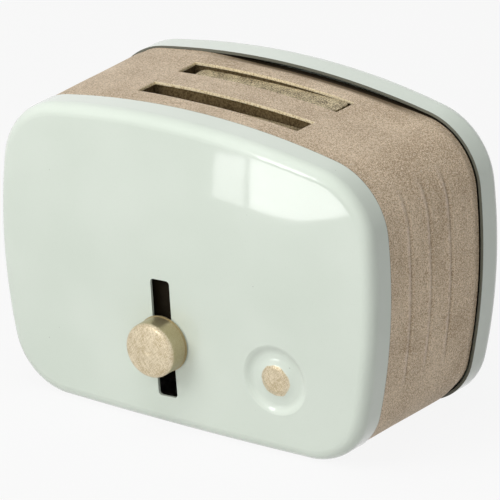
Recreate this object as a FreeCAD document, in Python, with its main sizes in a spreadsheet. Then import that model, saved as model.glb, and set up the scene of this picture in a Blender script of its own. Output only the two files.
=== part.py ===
import FreeCAD, Part
import math
import os
import Sketcher

# Toy toaster, millimetres. X runs along the toaster, the front faces -Y and Z is up.
# The solids are drawn about the middle plane between the two covers and moved at the end,
# so that the origin is under the middle of the whole toy, on the surface it stands on.

SIZES = {
    # outline of the covers, seen from the front
    "body_length": 60.0,
    "body_height": 43.1,
    "crown_radius": 116.0,
    "top_corner_radius": 10.1,
    "side_radius": 83.0,
    "widest_height": 24.2,
    "bottom_corner_radius": 8.9,
    # pressed covers
    "cover_sheet": 0.4,
    "flange_edge": 10.6,
    "face_reach": 16.1,
    "face_radius": 400.0,
    "face_height": 21.5,
    "rim_radius": 1.7,
    # pressed dish and boss beside the lever
    "dish_across": 14.97,
    "dish_height": 10.56,
    "dish_radius": 5.2,
    "dish_wall": 1.6,
    "dish_depth": 0.55,
    "boss_rise": 0.9,
    # lever slot
    "slot_across": -2.63,
    "slot_height": 12.52,
    "slot_length": 16.45,
    "slot_width": 3.05,
    "slot_corner": 0.5,
    "slot_lean": 3.4,
    # casing band
    "band_sheet": 0.4,
    "band_set_in": 0.2,
    "band_gap": 0.15,
    "band_lap": 1.0,
    "band_shoulder_gap": 0.1,
    "band_flap": 4.5,
    # creases pressed in the ends of the band, which leave flat ribs between them
    "crease_count": 3.0,
    "crease_pitch": 4.6,
    "crease_width": 0.8,
    "crease_depth": 0.2,
    "crease_bottom": 9.8,
    "crease_top": 36.5,
    "crease_shift": -0.8,
    # bread slots
    "bread_length": 25.6,
    "bread_width": 4.2,
    "bread_pitch": 9.0,
    "bread_shift": -0.5,
    # wells under the bread slots
    "well_sheet": 0.3,
    "well_clearance": 0.3,
    "well_depth": 12.0,
    "well_flange": 2.5,
    # bread trays
    "tray_sheet": 0.5,
    "tray_clearance": 0.35,
    "tray_end_clearance": 1.1,
    "tray_shift": 0.55,
    "tray_corner": 0.8,
    "tray_crown_radius": 250.0,
    "tray_tilt": 0.7,
    "front_tray_drop": 1.95,
    "rear_tray_drop": 0.92,
    "leg_width": 3.0,
    "leg_spacing": 15.0,
    "foot_length": 2.6,
    # lifter bridge and slider
    "bridge_height": 19.5,
    "bridge_width": 19.0,
    "bridge_sheet": 0.6,
    "bridge_margin": 0.6,
    "flange_width": 5.6,
    "flange_height": 4.6,
    "slider_sheet": 0.6,
    "slider_width": 9.0,
    "slider_reach": 14.1,
    "slider_top": 27.6,
    "slider_tail": 3.0,
    # guides and baffle behind the front cover
    "guide_sheet": 0.5,
    "guide_lip": 1.0,
    "guide_clearance": 0.2,
    "guide_bottom": 4.6,
    "guide_top": 28.6,
    "guide_depth": 2.6,
    "baffle_sheet": 0.4,
    "baffle_height": 7.6,
    # lever knob and its stem
    "stem_place": -0.6,
    "stem_radius": 1.2,
    "stem_neck_radius": 0.8,
    "stem_end_gap": 0.1,
    "stem_proud": 0.4,
    "knob_radius": 3.8,
    "knob_length": 3.4,
    "knob_rim": 0.7,
    "knob_crown": 0.2,
    "knob_bore_depth": 2.0,
    "washer_radius": 3.9,
    "washer_sheet": 0.2,
    "washer_gap": 0.15,
    "spring_washer_radius": 2.6,
    "spring_washer_sheet": 0.2,
    "spring_washer_rise": 0.45,
    "nut_radius": 1.7,
    "nut_length": 1.0,
    "running_fit": 0.05,
    # tie posts and the screws of the rear cover
    "post_spacing": 43.0,
    "post_low": 9.5,
    "post_high": 33.0,
    "post_radius": 1.5,
    "cup_radius": 2.5,
    "cup_depth": 1.7,
    "screw_radius": 0.8,
    "screw_length": 6.0,
    "screw_head_radius": 1.5,
    "screw_head_height": 0.8,
    # base plate and its screws
    "base_sheet": 0.4,
    "base_margin": 0.5,
    "base_width": 20.0,
    "base_screw_margin": 2.4,
    "base_screw_spacing": 14.0,
    "base_screw_radius": 0.7,
    "base_screw_length": 3.0,
    "base_head_radius": 1.15,
    "base_slit_width": 0.3,
    "base_slit_depth": 0.15,
    # rivets of the lifter
    "rivet_radius": 0.6,
    "rivet_head_radius": 1.0,
    "rivet_head_height": 0.4,
}

doc = FreeCAD.newDocument("toy_toaster")
sheet = doc.addObject("Spreadsheet::Sheet", "Sizes")
for row, (word, number) in enumerate(SIZES.items(), start=1):
    sheet.set("A%d" % row, word)
    sheet.set("B%d" % row, str(number))
    sheet.setAlias("B%d" % row, word)
doc.recompute()


class Size:
    """A size of the sheet, or one worked out from such sizes: its number and its expression."""

    def __init__(self, value, text):
        self.value = value
        self.text = text

    def __add__(self, other):
        other = size(other)
        return Size(self.value + other.value, "(%s + %s)" % (self.text, other.text))

    def __sub__(self, other):
        other = size(other)
        return Size(self.value - other.value, "(%s - %s)" % (self.text, other.text))

    def __mul__(self, other):
        other = size(other)
        return Size(self.value * other.value, "(%s * %s)" % (self.text, other.text))

    def __truediv__(self, other):
        other = size(other)
        return Size(self.value / other.value, "(%s / %s)" % (self.text, other.text))

    def __neg__(self):
        return Size(-self.value, "(-1 * %s)" % self.text)

    def __radd__(self, other):
        return size(other) + self

    def __rsub__(self, other):
        return size(other) - self

    def __rmul__(self, other):
        return size(other) * self

    def squared(self):
        return Size(self.value ** 2, "(%s)^2" % self.text)

    def root(self):
        return Size(math.sqrt(self.value), "sqrt(%s)" % self.text)


def size(given):
    """The sheet's size of that name, or a plain number as a Size."""
    if isinstance(given, Size):
        return given
    if isinstance(given, str):
        return Size(float(sheet.get(given)), "Sizes." + given)
    return Size(float(given), "%.10g" % given)


# Sizes that several pieces share
half_length = size("body_length") / 2
band_inner = size("band_set_in") + "band_sheet"
lap_inset = size("cover_sheet") + "band_gap"
band_reach = size("flange_edge") + "band_lap"
shoulder_reach = size("flange_edge") - "band_shoulder_gap"
crown_height = size("body_height") - "band_set_in"
crown_ceiling = size("body_height") - band_inner
bottom_reach = (size("side_radius") - "bottom_corner_radius").squared()
bottom_reach = (bottom_reach - (size("widest_height") - "bottom_corner_radius").squared()).root()
flat_half = half_length - "side_radius" + bottom_reach
slot_row = {"front": size("bread_shift") - size("bread_pitch") / 2,
            "rear": size("bread_shift") + size("bread_pitch") / 2}
well_inner_length = size("bread_length") + 2 * size("well_clearance")
well_inner_width = size("bread_width") + 2 * size("well_clearance")
tray_length = size("bread_length") - 2 * size("tray_end_clearance")
tray_width = size("bread_width") - 2 * size("tray_clearance")
tray_top = {"front": crown_height - "front_tray_drop", "rear": crown_height - "rear_tray_drop"}
bridge_top = size("bridge_height") + "bridge_sheet"
slider_back = size("slider_sheet") - "slider_reach"
guide_floor = slider_back + "guide_clearance"
guide_back = guide_floor + "guide_sheet"
baffle_seat = slider_back + "guide_depth"
lean = math.radians(size("slot_lean").value)
lean_sine = Size(math.sin(lean), "sin(Sizes.slot_lean)")
lean_cosine = Size(math.cos(lean), "cos(Sizes.slot_lean)")


def bind(thing, path, given):
    """Ties a property of an object to a size."""
    thing.setExpression(path, size(given).text)


def place(thing, x=0, y=0, z=0):
    """Puts an object at a point whose coordinates are sizes."""
    for letter, given in zip("xyz", (x, y, z)):
        bind(thing, "Placement.Base." + letter, given)
    return thing


def turn(thing, axis, degrees):
    """Turns an object about an axis through its own origin."""
    base = thing.Placement.Base
    thing.Placement = FreeCAD.Placement(base, FreeCAD.Rotation(FreeCAD.Vector(*axis), degrees))
    return thing


def box(name, x, y, z, length, width, height):
    """A block with its corner at x, y, z."""
    block = doc.addObject("Part::Box", name)
    bind(block, "Length", length)
    bind(block, "Width", width)
    bind(block, "Height", height)
    return place(block, x, y, z)


def centred_box(name, x, y, z, length, width, height):
    """A block with its middle over x, y and its floor at z."""
    length = size(length)
    width = size(width)
    return box(name, size(x) - length / 2, size(y) - width / 2, z, length, width, height)


def cylinder(name, x, y, z, radius, height, along="z"):
    """A cylinder that starts at x, y, z and runs along +Z or +Y."""
    rod = doc.addObject("Part::Cylinder", name)
    bind(rod, "Radius", radius)
    bind(rod, "Height", height)
    if along == "y":
        turn(rod, (1, 0, 0), -90)
    return place(rod, x, y, z)


def cut(name, base, tool):
    result = doc.addObject("Part::Cut", name)
    result.Base = base
    result.Tool = tool
    return result


def common(name, base, tool):
    result = doc.addObject("Part::Common", name)
    result.Base = base
    result.Tool = tool
    return result


def fuse(name, parts):
    result = doc.addObject("Part::MultiFuse", name)
    result.Shapes = parts
    return result


def group(name, parts):
    """Separate solids that share one node."""
    result = doc.addObject("Part::Compound", name)
    result.Links = parts
    return result


def sketch_on(body, role, name, offset=None):
    """A sketch on one of the body's origin planes, moved along the plane's normal."""
    plane = next(feature for feature in body.Origin.OriginFeatures if feature.Role == role)
    sketch = body.newObject("Sketcher::SketchObject", name)
    sketch.AttachmentSupport = [(plane, "")]
    sketch.MapMode = "FlatFace"
    if offset is not None:
        bind(sketch, "AttachmentOffset.Base.z", offset)
    return sketch


def hold(sketch, kind, where, given):
    """Adds a constraint and ties it to a size."""
    given = size(given)
    index = sketch.addConstraint(Sketcher.Constraint(kind, *where, given.value))
    sketch.setExpression("Constraints[%d]" % index, given.text)


def arc(centre, radius, start, end):
    """An arc that runs anticlockwise between two angles in radians."""
    circle = Part.Circle(FreeCAD.Vector(*centre, 0), FreeCAD.Vector(0, 0, 1), radius)
    return Part.ArcOfCircle(circle, start, end)


def arc_between(start, end, radius, anticlockwise):
    """The short arc of that radius between two points."""
    dx = end[0] - start[0]
    dy = end[1] - start[1]
    chord = math.hypot(dx, dy)
    rise = math.sqrt(radius ** 2 - chord ** 2 / 4)
    side = 1 if anticlockwise else -1
    centre = (start[0] + dx / 2 - side * dy / chord * rise, start[1] + dy / 2 + side * dx / chord * rise)
    ends = (start, end) if anticlockwise else (end, start)
    angles = [math.atan2(point[1] - centre[1], point[0] - centre[0]) for point in ends]
    return arc(centre, radius, *angles)


def closed_profile(sketch, corners, arcs=None):
    """Joins corners by lines, or by an arc (radius, anticlockwise) after the corners that arcs names."""
    arcs = arcs or {}
    points = [(size(x).value, size(y).value) for x, y in corners]
    ends = []
    for number, start in enumerate(points):
        end = points[(number + 1) % len(points)]
        if number in arcs:
            radius, anticlockwise = arcs[number]
            piece = sketch.addGeometry(arc_between(start, end, size(radius).value, anticlockwise), False)
            hold(sketch, "Radius", (piece,), radius)
            ends.append((piece, 1, 2) if anticlockwise else (piece, 2, 1))
        else:
            line = Part.LineSegment(FreeCAD.Vector(*start, 0), FreeCAD.Vector(*end, 0))
            ends.append((sketch.addGeometry(line, False), 1, 2))
    for number, (piece, first, last) in enumerate(ends):
        after, start, _ = ends[(number + 1) % len(ends)]
        sketch.addConstraint(Sketcher.Constraint("Coincident", piece, last, after, start))
        for kind, axis, given in zip(("DistanceX", "DistanceY"), (-2, -1), corners[number]):
            if size(given).value == 0:
                sketch.addConstraint(Sketcher.Constraint("PointOnObject", piece, first, axis))
            else:
                hold(sketch, kind, (-1, 1, piece, first), given)
    return sketch


def pad(body, sketch, length, midplane=False):
    feature = body.newObject("PartDesign::Pad", sketch.Name + "_pad")
    feature.Profile = sketch
    feature.Midplane = midplane
    bind(feature, "Length", length)
    return feature


def revolve(body, sketch):
    """A full turn of a sketch about its own vertical axis."""
    feature = body.newObject("PartDesign::Revolution", sketch.Name + "_turned")
    feature.Profile = sketch
    feature.ReferenceAxis = (sketch, ["V_Axis"])
    feature.Angle = 360.0
    return feature


def outline(sketch, inset):
    """The outline of the toaster, drawn inside its outer line by the inset.

    Eight tangent stretches run anticlockwise: crown, left corner, left side, left bottom corner,
    bottom, right bottom corner, right side and right corner.
    """
    inset = size(inset)
    crown = size("crown_radius") - inset
    corner = size("top_corner_radius") - inset
    side = size("side_radius") - inset
    bottom = size("bottom_corner_radius") - inset
    crown_centre = (0.0, size("body_height").value - size("crown_radius").value)
    side_centre = (half_length.value - size("side_radius").value, size("widest_height").value)
    spans = (crown.value - corner.value, side.value - corner.value)
    corner_centre = meeting_point(crown_centre, spans[0], side_centre, spans[1])
    low = inset.value + bottom.value
    reach = math.sqrt((side.value - bottom.value) ** 2 - (low - side_centre[1]) ** 2)
    bottom_centre = (side_centre[0] + reach, low)
    crown_end = math.atan2(corner_centre[1] - crown_centre[1], corner_centre[0])
    side_top = math.atan2(corner_centre[1] - side_centre[1], corner_centre[0] - side_centre[0])
    side_low = math.atan2(bottom_centre[1] - side_centre[1], bottom_centre[0] - side_centre[0])
    floor = inset.value
    across = bottom_centre[0]

    def mirrored(point):
        return (-point[0], point[1])

    pieces = [
        arc(crown_centre, crown.value, crown_end, math.pi - crown_end),
        arc(mirrored(corner_centre), corner.value, math.pi - crown_end, math.pi - side_top),
        arc(mirrored(side_centre), side.value, math.pi - side_top, math.pi - side_low),
        arc(mirrored(bottom_centre), bottom.value, math.pi - side_low, 1.5 * math.pi),
        Part.LineSegment(FreeCAD.Vector(-across, floor, 0), FreeCAD.Vector(across, floor, 0)),
        arc(bottom_centre, bottom.value, 1.5 * math.pi, 2 * math.pi + side_low),
        arc(side_centre, side.value, side_low, side_top),
        arc(corner_centre, corner.value, side_top, crown_end),
    ]
    sketch.addGeometry(pieces, False)
    for number in range(8):
        sketch.addConstraint(Sketcher.Constraint("Tangent", number, 2, (number + 1) % 8, 1))
    for number, radius in enumerate((crown, corner, side, bottom, None, bottom, side, corner)):
        if radius is not None:
            hold(sketch, "Radius", (number,), radius)
    sketch.addConstraint(Sketcher.Constraint("PointOnObject", 0, 3, -2))
    hold(sketch, "DistanceY", (-1, 1, 0, 3), size("body_height") - "crown_radius")
    for number, way in ((2, -1), (6, 1)):
        hold(sketch, "DistanceX", (-1, 1, number, 3), way * (half_length - "side_radius"))
        hold(sketch, "DistanceY", (-1, 1, number, 3), "widest_height")
    sketch.addConstraint(Sketcher.Constraint("Horizontal", 4))
    if floor == 0:
        sketch.addConstraint(Sketcher.Constraint("PointOnObject", 4, 1, -1))
    else:
        hold(sketch, "DistanceY", (-1, 1, 4, 1), inset)
    return sketch


def meeting_point(first, first_radius, second, second_radius):
    """Where two circles cross, on the upper right."""
    dx = second[0] - first[0]
    dy = second[1] - first[1]
    gap = math.hypot(dx, dy)
    along = (first_radius ** 2 - second_radius ** 2 + gap ** 2) / (2 * gap)
    aside = math.sqrt(first_radius ** 2 - along ** 2)
    foot = (first[0] + along * dx / gap, first[1] + along * dy / gap)
    choices = [(foot[0] + way * aside * -dy / gap, foot[1] + way * aside * dx / gap) for way in (1, -1)]
    return max(choices, key=sum)


def outline_block(name, inset, start, end):
    """A block with the toaster's outline, from y = -start to y = -end."""
    body = doc.addObject("PartDesign::Body", name)
    sketch = outline(sketch_on(body, "XZ_Plane", name + "_outline", start), inset)
    pad(body, sketch, size(end) - start)
    return body


def pan(name, inset, start):
    """The form of a cover inside its outer face by the inset: outline, domed face, rounded rim."""
    inset = size(inset)
    reach = size("face_reach") - inset
    block = outline_block(name + "_block", inset, start, reach)
    ball = doc.addObject("Part::Sphere", name + "_ball")
    bind(ball, "Radius", size("face_radius") - inset)
    place(ball, 0, size("face_radius") - "face_reach", "face_height")
    domed = common(name + "_domed", block, ball)
    doc.recompute()
    apex = Part.Vertex(0, -reach.value, size("face_height").value)
    face = min(domed.Shape.Faces, key=lambda each: each.distToShape(apex)[0])
    radius = (size("rim_radius") - inset).value
    rim = [(number, radius, radius) for number, edge in enumerate(domed.Shape.Edges, start=1)
           if any(edge.isSame(other) for other in face.Edges)]
    rounded = doc.addObject("Part::Fillet", name)
    rounded.Base = domed
    rounded.Edges = rim
    return rounded


def on_face(thing, across, height):
    """Moves an object that is drawn on the top of the dome to another point of the dome, square to it."""
    dome = size("face_radius").value
    centre = FreeCAD.Vector(0, dome - size("face_reach").value, size("face_height").value)
    offset = FreeCAD.Vector(size(across).value, 0, size(height).value - size("face_height").value)
    outward = FreeCAD.Vector(offset.x, -math.sqrt(dome ** 2 - offset.Length ** 2), offset.z)
    tilt = FreeCAD.Rotation(FreeCAD.Vector(0, 0, 1), outward)
    thing.Placement = FreeCAD.Placement(centre + outward, tilt)
    return thing


def bend_radius(width, drop):
    """The radius of two like arcs that make a smooth step of that width and drop."""
    return (width.squared() + drop.squared()) / (4 * drop)


def dish_tool(name, inset):
    """The hollow of the dish round its domed boss, about +Z with z = 0 on the cover's outer face."""
    inset = size(inset)
    wall = size("dish_wall")
    depth = size("dish_depth")
    rise = size("boss_rise")
    trough = size("dish_radius") - wall
    lip = bend_radius(wall, depth)
    dome = bend_radius(trough, rise)
    lip_share = inset / (2 * lip)
    dome_share = inset / (2 * dome)
    top = size(2)
    body = doc.addObject("PartDesign::Body", name)
    sketch = sketch_on(body, "XZ_Plane", name + "_profile")
    corners = [
        (0, rise - depth - inset),
        (trough / 2 - trough * dome_share, rise / 2 - depth - inset + rise * dome_share),
        (trough, -depth - inset),
        (trough + wall / 2 + wall * lip_share, -depth / 2 - inset + depth * lip_share),
        ("dish_radius", -inset),
        ("dish_radius", top),
        (0, top),
    ]
    arcs = {0: (dome - inset, False), 1: (dome + inset, True), 2: (lip + inset, True),
            3: (lip - inset, False)}
    if inset.value == 0:
        corners[4] = ("dish_radius", 0)
    closed_profile(sketch, corners, arcs)
    revolve(body, sketch)
    return on_face(body, "dish_across", "dish_height")


def lean_over(thing):
    """Leans an object about its own origin as the lever slot leans."""
    turn(thing, (0, 1, 0), -size("slot_lean").value)
    bind(thing, "Placement.Rotation.Angle", -size("slot_lean"))
    return thing


def in_slot_frame(thing):
    """Leans an object that is drawn about the lever slot's middle, with x across and z along the slot."""
    return place(lean_over(thing), "slot_across", 0, "slot_height")


def slot_point(along, across=0):
    """A point of the lever slot's own frame, as x and z."""
    along = size(along)
    across = size(across)
    x = size("slot_across") + across * lean_cosine - along * lean_sine
    return x, size("slot_height") + across * lean_sine + along * lean_cosine


def leaning_box(name, across, along, y, length, width, height):
    """A block that leans with the lever slot, from its lower left front corner."""
    block = lean_over(box(name, 0, y, 0, length, width, height))
    x, z = slot_point(along, across)
    return place(block, x, y, z)


# Covers

def lever_slot_tool():
    body = doc.addObject("PartDesign::Body", "lever_slot_tool")
    sketch = sketch_on(body, "XZ_Plane", "lever_slot")
    across = size("slot_width") / 2
    along = size("slot_length") / 2
    corner = size("slot_corner")
    corners = [
        (across - corner, -along), (across, corner - along), (across, along - corner), (across - corner, along),
        (corner - across, along), (-across, along - corner), (-across, corner - along), (corner - across, -along),
    ]
    arcs = {number: (corner, True) for number in (0, 2, 4, 6)}
    closed_profile(sketch, corners, arcs)
    pad(body, sketch, size("face_reach") + 1)
    return in_slot_frame(body)


def front_cover():
    outer = cut("front_outside", pan("front_form", 0, "flange_edge"), dish_tool("dish_outside", 0))
    inner = cut("front_inside", pan("front_hollow", "cover_sheet", 0), dish_tool("dish_inside", "cover_sheet"))
    shell = cut("front_shell", outer, inner)
    return cut("front_cover", shell, lever_slot_tool()), inner


def post_places():
    half = size("post_spacing") / 2
    return [(side * half, height) for height in (size("post_low"), size("post_high")) for side in (-1, 1)]


def rear_cover():
    """The plain pan, with a flat cup pressed in for each screw."""
    seat = size("face_reach") - "cup_depth"
    cups = []
    deep_cups = []
    holes = []
    for number, (x, z) in enumerate(post_places()):
        cups.append(cylinder("cup_%d" % number, x, seat, z, "cup_radius", "cup_depth", "y"))
        deep_cups.append(cylinder("deep_cup_%d" % number, x, seat - "cover_sheet", z,
                                  size("cup_radius") + "cover_sheet", "cup_depth", "y"))
        holes.append(cylinder("cup_hole_%d" % number, x, seat - 1, z,
                              size("screw_radius") + "running_fit", 2, "y"))
    outer = turn(pan("rear_form", 0, "flange_edge"), (0, 0, 1), 180)
    inner = turn(pan("rear_hollow", "cover_sheet", 0), (0, 0, 1), 180)
    inner = cut("rear_inside", inner, fuse("deep_cups", deep_cups))
    shell = cut("rear_shell", cut("rear_outside", outer, fuse("cups", cups)), inner)
    return cut("rear_cover", shell, fuse("cup_holes", holes)), inner


# Casing band

def ring_block(name, inset, reach):
    """A block with the toaster's outline inside its outer line by the inset, out to the reach each way."""
    body = doc.addObject("PartDesign::Body", name)
    sketch = outline(sketch_on(body, "XZ_Plane", name + "_outline"), inset)
    pad(body, sketch, 2 * size(reach), midplane=True)
    return body


def creased_block(name, inset, reach, width):
    """The band's outline block with the upright creases of both ends pressed in."""
    strips = []
    for number in range(round(size("crease_count").value)):
        y = size("crease_shift") + (number - (size("crease_count") - 1) / 2) * "crease_pitch"
        strips.append(centred_box("%s_strip_%d" % (name, number), 0, y, "crease_bottom",
                                  size("body_length") + 2, width, size("crease_top") - "crease_bottom"))
    kept = ring_block(name + "_core", size(inset) + "crease_depth", reach)
    pressed = cut(name + "_creases", fuse(name + "_strips", strips), kept)
    return cut(name, ring_block(name + "_block", inset, reach), pressed)


def casing_band():
    """The ring of sheet, nearly flush between the covers and stepped in under their flanges."""
    sheet_in = size("band_sheet")
    outer = fuse("band_outside", [
        creased_block("band_show", "band_set_in", shoulder_reach, "crease_width"),
        ring_block("band_lap_outside", lap_inset, band_reach)])
    inner = fuse("band_inside", [
        creased_block("band_room", band_inner, shoulder_reach - sheet_in, size("crease_width") + 2 * sheet_in),
        ring_block("band_lap_inside", lap_inset + sheet_in, band_reach + 1)])
    opening = 2 * (flat_half - "band_flap")
    tools = [centred_box("band_gap_tool", 0, 0, -1, opening, 2 * band_reach + 2, 4)]
    for row, y in slot_row.items():
        tools.append(centred_box("bread_slot_" + row, 0, y, size("body_height") / 2,
                                 "bread_length", "bread_width", "body_height"))
    for number, (x, y) in enumerate(base_screw_places()):
        tools.append(screw_cone("band_hole_%d" % number, x, y, "running_fit"))
    return cut("casing_band", cut("band_shell", outer, inner), fuse("band_tools", tools))


def screw_cone(name, x, y, clearance):
    """The countersink of a base screw, through the sheet of the band's flap."""
    cone = doc.addObject("Part::Cone", name)
    bind(cone, "Radius1", size("base_head_radius") + clearance)
    bind(cone, "Radius2", size("base_screw_radius") + clearance)
    bind(cone, "Height", "band_sheet")
    return place(cone, x, y, "band_set_in")


def base_screw_places():
    x = flat_half - "base_screw_margin"
    y = size("base_screw_spacing") / 2
    return [(side * x, end * y) for side in (-1, 1) for end in (-1, 1)]


def base_plate():
    """The plate on the band's turned-in flaps that closes the gap between them."""
    plate = centred_box("base_blank", 0, 0, band_inner, 2 * (flat_half - "base_margin"), "base_width",
                        "base_sheet")
    holes = [cylinder("base_hole_%d" % number, x, y, band_inner - 1,
                      size("base_screw_radius") + "running_fit", 3)
             for number, (x, y) in enumerate(base_screw_places())]
    return cut("base_plate", plate, fuse("base_holes", holes))


def base_screws():
    """Slotted screws, sunk into the band's flaps from below."""
    screws = []
    for number, (x, y) in enumerate(base_screw_places()):
        head = screw_cone("base_head_%d" % number, x, y, 0)
        shank = cylinder("base_shank_%d" % number, x, y, band_inner, "base_screw_radius", "base_screw_length")
        slit = centred_box("base_slit_%d" % number, x, y, size("band_set_in") - 1,
                           2 * size("base_head_radius") + 1, "base_slit_width", size("base_slit_depth") + 1)
        screws.append(cut("base_screw_%d" % number, fuse("base_pin_%d" % number, [head, shank]), slit))
    return group("base_screws", screws)


def tie_posts(front_inside, rear_inside):
    """Posts that end on the inner faces of both covers, with a hole for each screw."""
    posts = []
    inside = fuse("inside", [front_inside, rear_inside])
    screw_end = size("face_reach") - "cup_depth" - "screw_length"
    for number, (x, z) in enumerate(post_places()):
        rod = cylinder("post_rod_%d" % number, x, -size("face_reach"), z, "post_radius",
                       2 * size("face_reach"), "y")
        bore = cylinder("post_bore_%d" % number, x, screw_end - 1, z, size("screw_radius") + "running_fit",
                        "face_reach", "y")
        posts.append(cut("post_%d" % number, common("post_blank_%d" % number, rod, inside), bore))
    return group("tie_posts", posts)


def cover_screws():
    """Slotted screws that sit in the rear cover's cups."""
    screws = []
    seat = size("face_reach") - "cup_depth"
    slit_depth = size("screw_head_height") / 2
    for number, (x, z) in enumerate(post_places()):
        head = cylinder("screw_head_%d" % number, x, seat, z, "screw_head_radius", "screw_head_height", "y")
        slit = centred_box("screw_slit_%d" % number, x, seat + "screw_head_height", z - slit_depth / 2,
                           2 * size("screw_head_radius") + 1, 2 * slit_depth, slit_depth)
        shank = cylinder("screw_shank_%d" % number, x, seat - "screw_length", z, "screw_radius",
                         "screw_length", "y")
        screws.append(fuse("screw_%d" % number, [cut("screw_cap_%d" % number, head, slit), shank]))
    return group("cover_screws", screws)


# Bread wells

def bread_well(row):
    """A chute under a bread slot, with a flange under the crown at each end."""
    y = slot_row[row]
    name = "bread_well_" + row
    outer_length = well_inner_length + 2 * size("well_sheet")
    outer_width = well_inner_width + 2 * size("well_sheet")
    floor = crown_ceiling - "well_depth"
    chute = centred_box(name + "_chute", 0, y, floor, outer_length, outer_width, "body_height")
    flange = centred_box(name + "_flange", 0, y, floor, outer_length + 2 * size("well_flange"), outer_width,
                         "body_height")
    under = ring_block(name + "_under", band_inner + "well_sheet", band_reach)
    ceiling = ring_block(name + "_ceiling", band_inner, band_reach)
    blank = common(name + "_blank", fuse(name + "_solid", [cut(name + "_lip", flange, under), chute]), ceiling)
    room = centred_box(name + "_room", 0, y, floor - 1, well_inner_length, well_inner_width, "body_height")
    return cut(name, blank, room)


# Lifter: trays, bridge, slider

def tray_strip(name, row, top):
    """The crowned strip of a tray, with rounded corners in plan."""
    radius = size("tray_crown_radius")
    half = tray_length / 2
    body = doc.addObject("PartDesign::Body", name + "_strip_body")
    sketch = sketch_on(body, "XZ_Plane", name + "_strip")
    low = radius - "tray_sheet"
    edge = (radius.squared() - half.squared()).root() - radius
    low_edge = (low.squared() - half.squared()).root() - radius
    closed_profile(sketch, [(half, low_edge), (half, edge), (-half, edge), (-half, low_edge)],
                   {1: (radius, True), 3: (low, False)})
    feature = pad(body, sketch, tray_width, midplane=True)
    doc.recompute()
    upright = [number for number, edge_line in enumerate(feature.Shape.Edges, start=1)
               if abs(edge_line.BoundBox.ZLength - size("tray_sheet").value) < 0.2
               and edge_line.BoundBox.YLength < 1e-6 and edge_line.BoundBox.XLength < 1e-6]
    rounded = body.newObject("PartDesign::Fillet", name + "_corners")
    rounded.Base = (feature, ["Edge%d" % number for number in upright])
    bind(rounded, "Radius", "tray_corner")
    turn(body, (0, 1, 0), -size("tray_tilt").value)
    return place(body, "tray_shift", slot_row[row], top)


def bread_tray(row):
    """A strip under the bread, with two legs whose feet stand on the bridge."""
    name = "bread_tray_" + row
    y = slot_row[row]
    strip = tray_strip(name, row, tray_top[row])
    pieces = [strip]
    thick = size("tray_sheet")
    for number, side in enumerate((-1, 1)):
        x = side * size("leg_spacing") / 2
        height = tray_top[row] - thick - bridge_top
        pieces.append(centred_box("%s_leg_%d" % (name, number), x, y, bridge_top, "leg_width", thick, height))
        pieces.append(box("%s_foot_%d" % (name, number), x - size("leg_width") / 2, y - thick / 2, bridge_top,
                          "leg_width", size("foot_length") + thick, thick))
    holes = [cylinder("%s_hole_%d" % (name, number), x, rivet_row(row), bridge_top - 1,
                      size("rivet_radius") + "running_fit", 2)
             for number, x in enumerate(rivet_columns())]
    return cut(name, fuse(name + "_blank", pieces), fuse(name + "_holes", holes))


def rivet_columns():
    return [side * size("leg_spacing") / 2 for side in (-1, 1)]


def rivet_row(row):
    """The rivets go through the middle of the feet."""
    return slot_row[row] + (size("tray_sheet") + "foot_length") / 2


def rivet(name, x, y, z, grip, along="z"):
    """A rivet with a flat head on both sides of what it grips."""
    head = size("rivet_head_height")
    if along == "z":
        low = cylinder(name + "_low", x, y, size(z) - head, "rivet_head_radius", head)
        high = cylinder(name + "_high", x, y, size(z) + grip, "rivet_head_radius", head)
        shank = cylinder(name + "_shank", x, y, size(z) - head, "rivet_radius", size(grip) + 2 * head)
    else:
        low = cylinder(name + "_low", x, size(y) - head, z, "rivet_head_radius", head, "y")
        high = cylinder(name + "_high", x, size(y) + grip, z, "rivet_head_radius", head, "y")
        shank = cylinder(name + "_shank", x, size(y) - head, z, "rivet_radius", size(grip) + 2 * head, "y")
    return fuse(name, [low, high, shank])


def tray_rivets():
    grip = size("bridge_sheet") + "tray_sheet"
    rivets = [rivet("tray_rivet_%s_%d" % (row, number), x, rivet_row(row), "bridge_height", grip)
              for row in slot_row for number, x in enumerate(rivet_columns())]
    return group("tray_rivets", rivets)


def slider_rivet_places():
    """Two rivets in the bridge's upright flange, on the slot's leaning middle line."""
    middle = bridge_top + (size("flange_height") - "bridge_sheet") / 2
    return [(flange_middle() + side * size("flange_width") / 4, middle) for side in (-1, 1)]


def flange_middle():
    """Where the slot's middle line is at the height of the bridge's flange."""
    rise = size("bridge_height") + size("flange_height") / 2 - "slot_height"
    return size("slot_across") - rise * lean_sine / lean_cosine


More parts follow.
